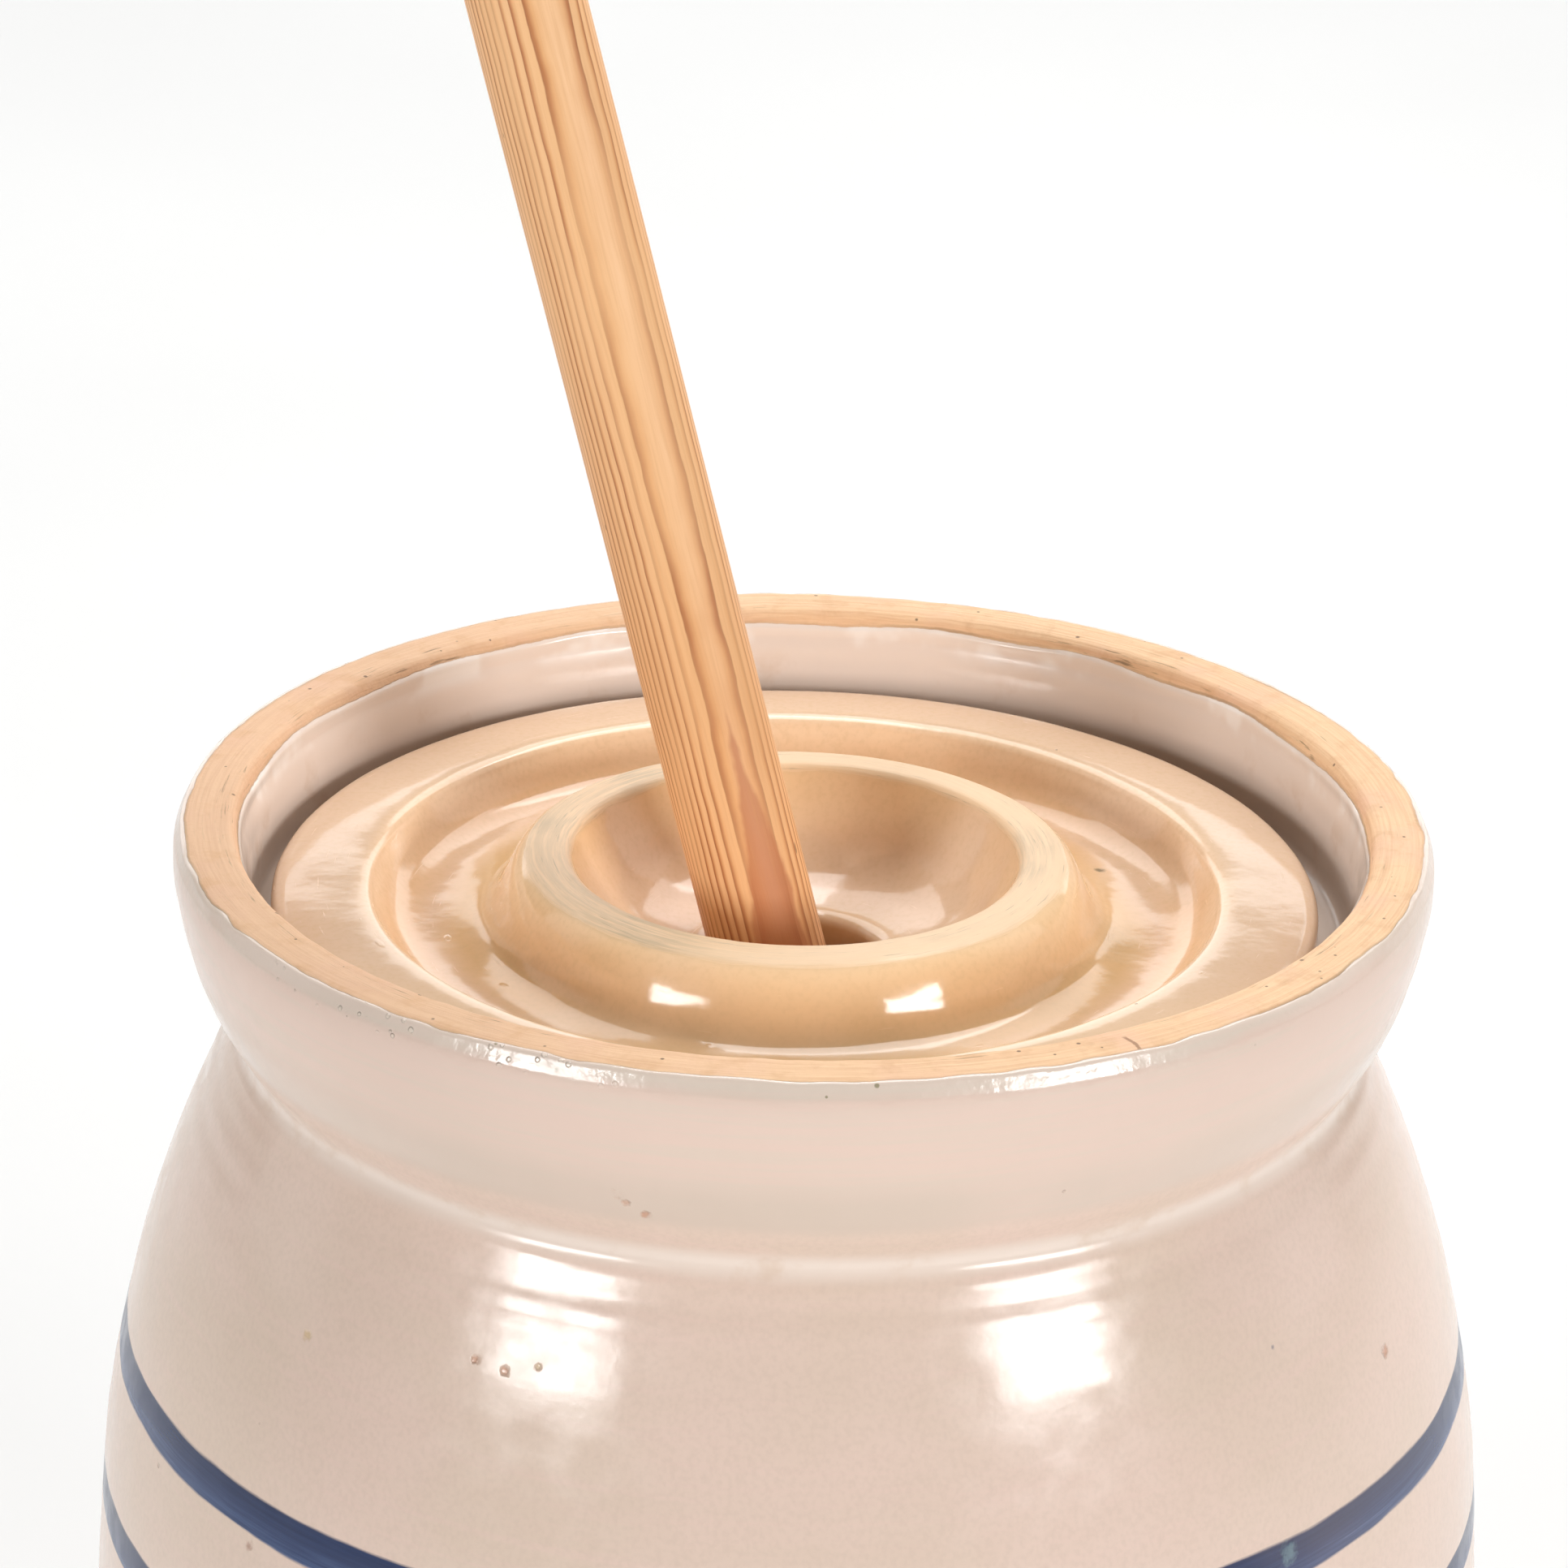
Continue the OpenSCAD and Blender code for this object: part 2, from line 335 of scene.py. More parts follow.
class Shader:
    """Adds nodes to one material and joins them up. Lengths are in metres."""

    def __init__(self, name, roughness=0.5, ior=1.5, own_frame=False):
        self.material = bpy.data.materials.new(name)
        self.material.use_nodes = True
        self.tree = self.material.node_tree
        self.surface = self.tree.nodes["Principled BSDF"]
        self.surface.inputs["Roughness"].default_value = roughness
        self.surface.inputs["IOR"].default_value = ior
        self.place = self.node("ShaderNodeTexCoord").outputs["Object"]
        if own_frame:
            self.place = self.node("ShaderNodeAttribute", attribute_name="grain_place").outputs["Vector"]
        split = self.node("ShaderNodeSeparateXYZ", {0: self.place})
        self.x, self.y, self.z = split.outputs

    def node(self, kind, inputs=None, **settings):
        made = self.tree.nodes.new(kind)
        for name, value in settings.items():
            setattr(made, name, value)
        for socket, value in (inputs or {}).items():
            self.put(made.inputs[socket], value)
        return made

    def put(self, socket, value):
        if isinstance(value, bpy.types.NodeSocket):
            self.tree.links.new(value, socket)
        else:
            socket.default_value = value

    def math(self, operation, a, b=0.0, c=0.0):
        return self.node("ShaderNodeMath", {0: a, 1: b, 2: c}, operation=operation).outputs[0]

    def times(self, *values):
        total = values[0]
        for value in values[1:]:
            total = self.math("MULTIPLY", total, value)
        return total

    def plus(self, *values):
        total = values[0]
        for value in values[1:]:
            total = self.math("ADD", total, value)
        return total

    def vector(self, x, y, z=0.0):
        return self.node("ShaderNodeCombineXYZ", {0: x, 1: y, 2: z}).outputs[0]

    def measure(self, operation, a, b=(0, 0, 0)):
        """A number from vectors: the LENGTH of a, or the DISTANCE or DOT_PRODUCT of a and b."""
        return self.node("ShaderNodeVectorMath", {0: a, 1: b}, operation=operation).outputs["Value"]

    def swing(self, noise, size):
        """Noise from 0 to 1 as a value from -size / 2 to size / 2."""
        return self.math("MULTIPLY_ADD", noise, size, -size / 2)

    def fade(self, value, start, end, low=0.0, high=1.0):
        """low up to start, high from end, and smooth between them; start may be above end."""
        return self.node("ShaderNodeMapRange", {0: value, 1: start, 2: end, 3: low, 4: high},
                         interpolation_type="SMOOTHSTEP").outputs[0]

    def between(self, value, low, high, edge):
        """1 from low to high, fading out over `edge` at both."""
        rising = self.fade(value, low - edge, low + edge)
        return self.times(rising, self.fade(value, high + edge, high - edge))

    def mix(self, share, a, b):
        return self.node("ShaderNodeMix", {0: share, 6: a, 7: b}, data_type="RGBA").outputs[2]

    def ramp(self, value, stops):
        """A colour that runs through (position, colour) stops."""
        made = self.node("ShaderNodeValToRGB", {0: value})
        elements = made.color_ramp.elements
        while len(elements) < len(stops):
            elements.new(0.5)
        for element, (position, colour) in zip(elements, stops):
            element.position, element.color = position, colour
        return made.outputs[0]

    def noise(self, sizes, detail=2.0, roughness=0.5, place=None, offset=0.0):
        """Noise from 0 to 1 with features about `sizes` long on X, Y and Z."""
        scale = [1 / size for size in (sizes if isinstance(sizes, tuple) else (sizes,) * 3)]
        moved = self.node("ShaderNodeMapping", {0: place or self.place, 1: (offset,) * 3, 3: scale})
        return self.node("ShaderNodeTexNoise", {"Vector": moved.outputs[0], "Scale": 1.0, "Detail": detail,
                                                "Roughness": roughness}).outputs[0]

    def spots(self, cell, radius, chance, offset=0.0, place=None, stretch=(1, 1, 1)):
        """Round dots of about a radius, in a share of the cells of a scatter, 0 to 1."""
        scale = [1 / (cell * s) for s in stretch]
        moved = self.node("ShaderNodeMapping", {0: place or self.place, 1: (offset,) * 3, 3: scale})
        cells = self.node("ShaderNodeTexVoronoi", {"Vector": moved.outputs[0], "Scale": 1.0})
        pick = self.node("ShaderNodeSeparateColor", {0: cells.outputs["Color"]})
        chosen = self.math("LESS_THAN", pick.outputs[0], chance)
        grown = self.math("MULTIPLY_ADD", pick.outputs[1], radius / cell, radius / cell * 0.4)
        dot = self.math("SUBTRACT", 1.0, self.math("DIVIDE", cells.outputs["Distance"], grown))
        return self.times(self.fade(dot, 0.0, 0.45), chosen)

    def near(self, point, radius, wobble):
        """1 at a point, falling to 0 at about `radius`, with an uneven edge."""
        gap = self.measure("DISTANCE", self.place, point)
        return self.fade(self.math("MULTIPLY_ADD", wobble, radius, gap), radius * 1.3, radius * 0.3)

    def shared(self, colour):
        self.put(self.surface.inputs["Base Color"], colour)

    def rough(self, value):
        self.put(self.surface.inputs["Roughness"], value)

    def bump(self, height):
        """Relief from a height in metres."""
        made = self.node("ShaderNodeBump", {"Height": height, "Distance": 1.0, "Strength": 1.0})
        self.put(self.surface.inputs["Normal"], made.outputs[0])


# ---------------------------------------------------------------- the crock

def crock_outline():
    """From the middle of the floor, up the inside, over the rim and down the outside to the base."""
    inside = below_rim(chain(
        straight([0, RIM_Z - FLOOR_T], [BASE_R - 28, RIM_Z - FLOOR_T], 9),
        smooth([[BASE_R - 22, RIM_Z - FLOOR_T - 0.6], [BASE_R - 13, RIM_Z - FLOOR_T - 4],
                [BASE_R - 7, RIM_Z - FLOOR_T - 11], [BASE_R - 3.4, RIM_Z - FLOOR_T - 21],
                [(BELLY_R + BASE_R) / 2 + 1.5 - WALL_T, RIM_Z - 52],
                [BELLY_R - 1.5 - WALL_T, BELLY_DEPTH + 35], [BELLY_R - WALL_T, BELLY_DEPTH],
                [BELLY_R - 0.8 - WALL_T, 155], [BELLY_R - 3.6 - WALL_T, 123],
                [BELLY_R - 10.6 - WALL_T, 96], [MOUTH_R + 19, 76], [MOUTH_R + 7.5, 61], [MOUTH_R + 1, 49],
                [MOUTH_R, 42], [MOUTH_R, LEDGE_DEPTH + 2]], 7)))
    seat = arc(MOUTH_R + 2, LEDGE_Z - 2, 2, 180, 90) + arc(RIM_INNER_R - 5, LEDGE_Z + 3, 3, -90, 0)
    inner_wall = below_rim(smooth([[RIM_INNER_R - 1.8, 19], [RIM_INNER_R - 1, 10],
                                   [RIM_INNER_R - 0.2, 6.4]], 1.3))
    rim = below_rim(smooth([[RIM_INNER_R - 0.2, 6.4], [RIM_INNER_R + 0.2, 3.6], [RIM_INNER_R + 0.8, 1.8],
                            [RIM_INNER_R + 1.7, 0.8], [RIM_INNER_R + 3, 0.35], [RIM_INNER_R + 5.5, 0.2],
                            [RIM_R - 4, 0.2], [RIM_R - 1.4, 0.35], [RIM_R, 0.85], [COLLAR_R - 1.1, 2.1],
                            [COLLAR_R - 0.3, 3.8]], 0.5))
    collar = below_rim(smooth([[COLLAR_R - 0.3, 3.8], [COLLAR_R, 6.4], [COLLAR_R - 0.4, 11.7],
                               [COLLAR_R - 2.1, 20], [COLLAR_R - 4.2, 27], [COLLAR_R - 7.6, 34.5],
                               [NECK_R, NECK_DEPTH], [NECK_R + 1.6, NECK_DEPTH + 4]], 1.05))
    shoulder = below_rim(smooth([[NECK_R + 1.6, NECK_DEPTH + 4], [NECK_R + 6.8, 56], [NECK_R + 13, 71],
                                 [BELLY_R - 9.2, 94], [BELLY_R - 3.4, 123], [BELLY_R - 0.8, 155]], 1.7))
    lower = below_rim(smooth([[BELLY_R - 0.8, 155], [BELLY_R, BELLY_DEPTH], [BELLY_R - 1.5, BELLY_DEPTH + 35],
                              [(BELLY_R + BASE_R) / 2 + 1.5, RIM_Z - 52], [BASE_R + 2.8, RIM_Z - 20],
                              [BASE_R, RIM_Z - 6]], 4))
    base = below_rim(chain(smooth([[BASE_R, RIM_Z - 6], [BASE_R - 1.4, RIM_Z - 2], [BASE_R - 4, RIM_Z]], 1),
                           straight([BASE_R - 4, RIM_Z], [0, RIM_Z], 9)))
    return chain(inside, seat, inner_wall, rim, collar, shoulder, lower, base)


def crock_relief(angle, points, along):
    """Potter's rings, soft lumps, and glaze with a rounded wavy edge on both sides of the bare rim."""
    radius = np.hypot(points[..., 0], points[..., 1])
    depth = RIM_Z - points[..., 2]
    top = np.argmin(np.abs(radius[:, 0] - (RIM_R - 5.5)) + 3 * depth[:, 0])
    along = along - along[top]
    outer_edge = 5.3 + ripple(angle, 3, (3, 90), 0.9)
    inner_edge = -6.9 + ripple(angle, 5, (2, 22), 1.3)
    glaze_edge = np.maximum(along - outer_edge, inner_edge - along)
    coat = 0.26 * rise(glaze_edge, -0.1, 0.6) + 0.16 * np.exp(-((glaze_edge - 0.9) / 0.8) ** 2)
    outside = rise(radius, RIM_R - 9, RIM_R - 7) * (depth < RIM_Z - 4)
    shoulder = np.exp(-((depth - 49) / 9) ** 2)
    wander = 1.6 * np.sin(angle + 1) + 0.8 * np.sin(3 * angle)
    rings = np.sin(2 * math.pi * (depth + wander) / 6.3)
    rings += 0.6 * np.sin(2 * math.pi * (depth - wander) / 9.1 + 2)
    body = rise(depth, 36, 42)
    height = coat - 0.42
    height += outside * body * rings * (0.09 * shoulder + 0.014)
    height += outside * (1 - body) * 0.03 * np.sin(2 * math.pi * depth / 7.5 + 0.6 * np.sin(2 * angle))
    height += outside * (0.03 * lumps(points, 11, 13) + 0.05 * lumps(points, 12, 45) - 0.12)
    height += (1 - outside) * rise(depth, 1, 5) * 0.05 * lumps(points, 13, 22)
    height += 0.05 * lumps(points, 14, 7) * (glaze_edge < 0)
    return height, {"glaze_edge": np.clip(glaze_edge, -9, 9)}


def crock_place(outline, azimuth, depth):
    """The point of the outside at an azimuth and a depth below the rim, in metres. The outline is read from
    the shoulder down, and a depth above that takes the shoulder's radius."""
    points_above, points_below = 70, 30
    widest = np.argmax(outline[:, 0])
    shown = outline[widest - points_above: widest + points_below]
    order = np.argsort(RIM_Z - shown[:, 1])
    radius = np.interp(depth, (RIM_Z - shown[:, 1])[order], shown[order, 0])
    flat = direction(azimuth, 0) * radius
    return Vector((flat.x, flat.y, RIM_Z - depth)) * MM


# Small faults in the glaze: azimuth, depth below the rim, radius, colour, and how deep each is cut
# (below 0 it stands out)
COBALT = srgb(52, 66, 108)
RUST = srgb(196, 132, 96)
OCHRE = srgb(206, 176, 128)
FAULTS = (
    (46.8, 68.5, 0.5, COBALT, 0.0), (-15.6, 26.0, 1.3, RUST, 0.3), (-14.9, 28.2, 0.9, RUST, 0.3),
    (-13.3, 30.6, 1.0, RUST, 0.25), (-25.5, 64.1, 1.0, RUST, 0.3), (-28.5, 63.5, 0.9, RUST, 0.3),
    (-22.5, 62.2, 0.7, OCHRE, 0.25), (62.5, 81.7, 1.2, RUST, 0.4), (-46.9, 70.6, 1.2, OCHRE, 0.15),
    (-48.4, 111.5, 1.1, srgb(150, 96, 72), 0.1), (44.5, 104.7, 2.2, srgb(128, 152, 158), -0.1),
)


def stoneware(outline):
    """Pinkish cream glaze with painted blue bands, over tan clay that shows on the rim."""
    s = Shader("stoneware_glaze", roughness=0.12, ior=1.52)
    depth = s.math("MULTIPLY_ADD", s.z, -1 / MM, RIM_Z)
    flat = s.vector(s.x, s.y)
    radius = s.measure("LENGTH", flat)
    polar = s.vector(s.x, s.y, radius)
    glaze_edge = s.node("ShaderNodeAttribute", attribute_name="glaze_edge").outputs["Fac"]
    fine = s.noise(0.0011, 3)
    grain = s.noise(0.004, 4, 0.6, offset=3)
    cloud = s.noise(0.045, 3, offset=7)
    brush = s.noise((0.05, 0.05, 0.0016), 3, 0.6, offset=11)

    # the body's glaze, with broad clouds, brush streaks and a fine mottle
    cream = s.mix(s.fade(cloud, 0.3, 0.7), srgb(232, 207, 192), srgb(226, 204, 186))
    cream = s.mix(s.fade(brush, 0.45, 0.8, 0.0, 0.35), cream, srgb(236, 206, 194))
    cream = s.mix(s.fade(fine, 0.35, 0.75, 0.0, 0.22), cream, srgb(206, 184, 168))
    # the collar: a greyish green run of thicker glaze under the rim, and a greyer lower third
    outer = s.fade(radius, (RIM_R - 6) * MM, (RIM_R - 4) * MM)
    on_collar = s.times(s.fade(depth, 41, 36), outer)
    collar = s.mix(s.fade(brush, 0.4, 0.7), srgb(228, 202, 187), srgb(224, 203, 187))
    lower_third = s.times(s.between(depth, 22, 36, 4), s.fade(cloud, 0.2, 0.6, 0.3, 0.9))
    collar = s.mix(lower_third, collar, srgb(216, 197, 181))
    cream = s.mix(on_collar, cream, collar)
    wash = s.plus(glaze_edge, s.swing(cloud, 6.0))
    under_rim = s.times(s.fade(wash, 4.5, 1.5, 0.0, 0.4), outer)
    cream = s.mix(under_rim, cream, srgb(222, 213, 199))
    # the inside is greyer, and paler along its wavy upper edge
    inner = s.fade(radius, (RIM_INNER_R + 3) * MM, (RIM_INNER_R + 1) * MM)
    inside = s.mix(s.fade(glaze_edge, 3.0, 0.5, 0.0, 0.5), srgb(235, 218, 205), srgb(243, 232, 222))
    milky = s.times(s.fade(s.noise(0.016, 3, offset=73), 0.5, 0.62), s.fade(glaze_edge, 6.5, 2.5))
    inside = s.mix(s.times(milky, 0.7), inside, srgb(250, 244, 238))
    stain = s.fade(s.noise(0.012, 4, 0.6, offset=79), 0.52, 0.7, 0.0, 0.5)
    inside = s.mix(s.times(stain, s.fade(glaze_edge, 4.0, 11.0)), inside, srgb(212, 182, 156))
    # painted shade: the inner wall darkens unevenly from the lid's top level down to its seat, in the gap
    # round the lid
    gap = s.times(s.fade(s.plus(depth, s.times(cloud, 4.0)), 14.5, 20.0), s.fade(depth, 30, 26))
    inside = s.mix(s.times(gap, 0.5), inside, srgb(134, 116, 100))
    cream = s.mix(inner, cream, inside)
    # painted bands: dense at the top of each stroke, thin and streaky below
    stroke = s.noise((0.03, 0.03, 0.0007), 4, 0.65, offset=19)
    wave = s.noise(0.02, 2, offset=23)
    height = s.plus(depth, s.swing(wave, 1.2), s.swing(stroke, 0.7))
    faint = s.fade(s.noise(0.09, 2, offset=31), 0.25, 0.45, 0.86, 1.0)
    outer_wall = s.fade(radius, (COLLAR_R + 2) * MM, (COLLAR_R + 4) * MM)
    blues = [(0.0, srgb(28, 44, 82)), (0.45, srgb(40, 58, 100)), (0.8, srgb(62, 82, 124)),
             (1.0, srgb(112, 126, 158))]
    for top, bottom in BAND_DEPTHS:
        band = s.times(s.between(height, top, bottom, 0.35), outer_wall)
        share = s.plus(s.fade(height, top + 1.0, bottom, 0.15, 0.75), s.swing(stroke, 1.1))
        cream = s.mix(s.times(band, faint), cream, s.ramp(share, blues))

    # bare clay, with turning streaks, dark specks and grime near its inner edge
    streak = s.noise((0.03, 0.03, 0.0006), 4, 0.7, polar, offset=5)
    clay = s.mix(s.fade(streak, 0.35, 0.7), srgb(244, 205, 163), srgb(228, 184, 143))
    clay = s.mix(s.fade(s.noise(0.018, 3, offset=41), 0.45, 0.75, 0.0, 0.6), clay, srgb(236, 190, 160))
    clay = s.mix(s.fade(grain, 0.55, 0.8, 0.0, 0.35), clay, srgb(206, 160, 118))
    clay = s.mix(s.fade(s.x, 0.03, -0.09, 0.0, 0.5), clay, srgb(216, 176, 146))
    grime_line = s.times(s.fade(s.noise((0.012, 0.012, 0.00045), 3, 0.6, polar, offset=53), 0.60, 0.70),
                         s.fade(s.noise(0.02, 2, offset=61), 0.42, 0.56),
                         s.fade(radius, (RIM_INNER_R + 7.5) * MM, (RIM_INNER_R + 2.5) * MM, 0.1, 0.75))
    clay = s.mix(grime_line, clay, srgb(120, 98, 74))
    clay = s.mix(s.fade(s.noise(0.006, 3, 0.6, offset=67), 0.5, 0.72, 0.0, 0.45), clay, srgb(214, 168, 124))
    clay = s.mix(s.times(s.spots(0.0034, 0.0004, 0.45, offset=71), 0.8), clay, srgb(104, 80, 62))
    # a hairline crack across the rim at the front right
    crack_azimuth = 30.5
    reach = s.measure("DOT_PRODUCT", flat, direction(crack_azimuth, 0))
    aside = s.measure("DOT_PRODUCT", flat, direction(crack_azimuth + 90, 0))
    aside = s.math("ABSOLUTE", s.plus(aside, s.swing(grain, 0.0015)))
    crack = s.times(s.fade(aside, 0.0005, 0.0002),
                    s.between(reach, (RIM_INNER_R + 5.5) * MM, (RIM_R - 0.5) * MM, 0.0006))
    clay = s.mix(s.times(crack, 0.7), clay, srgb(140, 98, 70))
    # dirt along the glaze's edge
    edge = s.plus(glaze_edge, s.swing(grain, 0.7))
    dirt = s.times(s.between(edge, -0.5, 0.3, 0.25), s.fade(cloud, 0.35, 0.7, 0.1, 0.6))
    clay = s.mix(dirt, clay, srgb(150, 120, 88))
    bare = s.fade(edge, 0.16, -0.12)

    # specks: bubbles in the thick glaze at the front left, rust pin-pricks in the neck, dots anywhere
    bubble_azimuth = -34
    front_left = s.measure("DOT_PRODUCT", flat, direction(bubble_azimuth, 0))
    facing = s.fade(s.math("DIVIDE", front_left, radius), 0.93, 0.985)
    bubbles = s.times(s.spots(0.002, 0.0006, 0.6, offset=83), s.between(glaze_edge, 0.6, 4.5, 0.5), outer,
                      facing)
    pricks = s.times(s.spots(0.0035, 0.0005, 0.28, offset=97), s.between(depth, 35, 43, 2.5), outer)
    pinholes = s.times(s.spots(0.011, 0.0005, 0.3, offset=101), s.fade(depth, 3, 8), outer)
    green = s.times(s.spots(0.0022, 0.0005, 0.4, offset=113), s.between(glaze_edge, 0.4, 3.5, 0.4), outer,
                    s.fade(s.noise(0.03, 1, offset=127), 0.5, 0.62))
    cream = s.mix(s.times(green, 0.8), cream, srgb(140, 132, 98))
    cream = s.mix(s.times(bubbles, 0.5), cream, srgb(226, 212, 194))
    cream = s.mix(s.times(pricks, 0.8), cream, srgb(214, 150, 116))
    cream = s.mix(s.times(pinholes, 0.35), cream, srgb(178, 150, 134))
    relief = s.plus(s.times(bubbles, 0.0003), s.times(pinholes, -0.00012), s.times(pricks, 0.0001))
    wobble = s.swing(s.noise(0.0012, 2, offset=131), 1.6)
    for azimuth, down, size, colour, hollow in FAULTS:
        fault = s.near(crock_place(outline, azimuth, down), size * MM, wobble)
        cream = s.mix(s.times(fault, 0.6), cream, colour)
        relief = s.math("MULTIPLY_ADD", fault, -hollow * MM, relief)

    s.shared(s.mix(bare, cream, clay))
    gloss = s.fade(s.noise(0.006, 3, offset=139), 0.35, 0.7, 0.15, 0.25)
    s.rough(s.node("ShaderNodeMix", {0: bare, 2: gloss, 3: 0.82}).outputs[0])
    skin = s.swing(s.noise(0.004, 3, offset=149), 0.00004)
    pebbles = s.times(s.swing(s.noise(0.0022, 2, offset=151), 0.00012), s.between(glaze_edge, 0.4, 5, 1),
                      outer)
    tooth = s.times(s.plus(s.times(streak, 0.00022), s.times(fine, 0.00012)), bare)
    s.bump(s.plus(skin, pebbles, tooth, relief))
    return s.material


def make_crock():
    outline = crock_outline()
    piece = turned("crock_ware", outline, 360, crock_relief)
    finish_piece(piece, stoneware(outline), "crock", "stoneware_glaze", "crock")


# ---------------------------------------------------------------- the lid

def lid_outline():
    """Round the lid's section from the hole's edge: underside, border, lip, trough, collar, bowl."""
    def above_ledge(points):
        return [np.array((p[0], LEDGE_Z + p[1])) for p in points]

    return chain(
        above_ledge(smooth([[HOLE_R, -12], [HOLE_R + 1.5, -13.5], [HOLE_R + 7, -13],
                            [RING_INNER_R - 12, -10.8], [RING_INNER_R - 3, -7.6],
                            [RING_INNER_R + 7, -6]], 2.5)),
        above_ledge(straight([RING_INNER_R + 7, -6], [LIP_R - 1, -6], 4)),
        above_ledge([np.array(p) for p in ([LIP_R + 3, -4.8], [LIP_R + 6, -1], [LIP_R + 8, 0])]),
        above_ledge(straight([LIP_R + 8, 0], [LID_R - 3, 0], 3)),
        above_ledge(arc(LID_R - 3, 3, 3, -90, 0)),
        above_ledge(arc(LID_R - 2.8, 6.4, 2.8, 0, 90)),
        above_ledge(smooth([[LID_R - 2.8, 9.2], [LIP_R + 12, 9.55], [LIP_R + 5, 9.85], [LIP_R + 1.8, 9.75],
                            [LIP_R + 0.5, 9.4], [LIP_R - 0.2, 8.7], [LIP_R - 0.9, 7.4], [LIP_R - 3.4, 3.6],
                            [LIP_R - 6.5, 1.5], [LIP_R - 11, 0.8], [RING_OUTER_R + 13.5, 1],
                            [RING_OUTER_R + 9, 1.9], [RING_OUTER_R + 6.7, 3.6], [RING_OUTER_R + 5.2, 6],
                            [RING_OUTER_R + 3.6, 9.6], [RING_OUTER_R + 2, RING_H - 3],
                            [RING_OUTER_R, RING_H - 1], [RING_OUTER_R - 3, RING_H - 0.1]], 0.7)),
        above_ledge(straight([RING_OUTER_R - 3, RING_H - 0.1], [RING_INNER_R + 0.8, RING_H - 0.1], 1)),
        above_ledge(smooth([[RING_INNER_R + 0.8, RING_H - 0.1], [RING_INNER_R - 0.4, RING_H - 1],
                            [RING_INNER_R - 1.8, RING_H - 4], [RING_INNER_R - 4, 7.5],
                            [RING_INNER_R - 8, 1.8], [RING_INNER_R - 14, -2.4], [HOLE_R + 5, -4.6],
                            [HOLE_R + 2.4, -5], [HOLE_R + 0.8, -5.6], [HOLE_R, -HOLE_DROP]], 0.9)),
        above_ledge(straight([HOLE_R, -HOLE_DROP], [HOLE_R, -12], 1.2)))


def lid_relief(angle, points, _along):
    """Soft unevenness of the thick glaze, least on the resting face and the guide hole."""
    radius = np.hypot(points[..., 0] - LID_X, points[..., 1])
    height = points[..., 2] - LEDGE_Z
    top = rise(height, -6.5, -3) * rise(radius, HOLE_R + 1, HOLE_R + 4)
    on_ring = rise(height, RING_H - 1.2, RING_H - 0.3)
    soft = 0.03 * lumps(points, 21, 26) + 0.014 * lumps(points, 22, 9) + ripple(angle, 23, (2, 6), 0.08)
    worn = -0.06 * rise(lumps(points, 24, 12), -0.2, 0.8)
    return top * (soft - 0.15) * (1 - on_ring) + on_ring * (worn - 0.12), {}


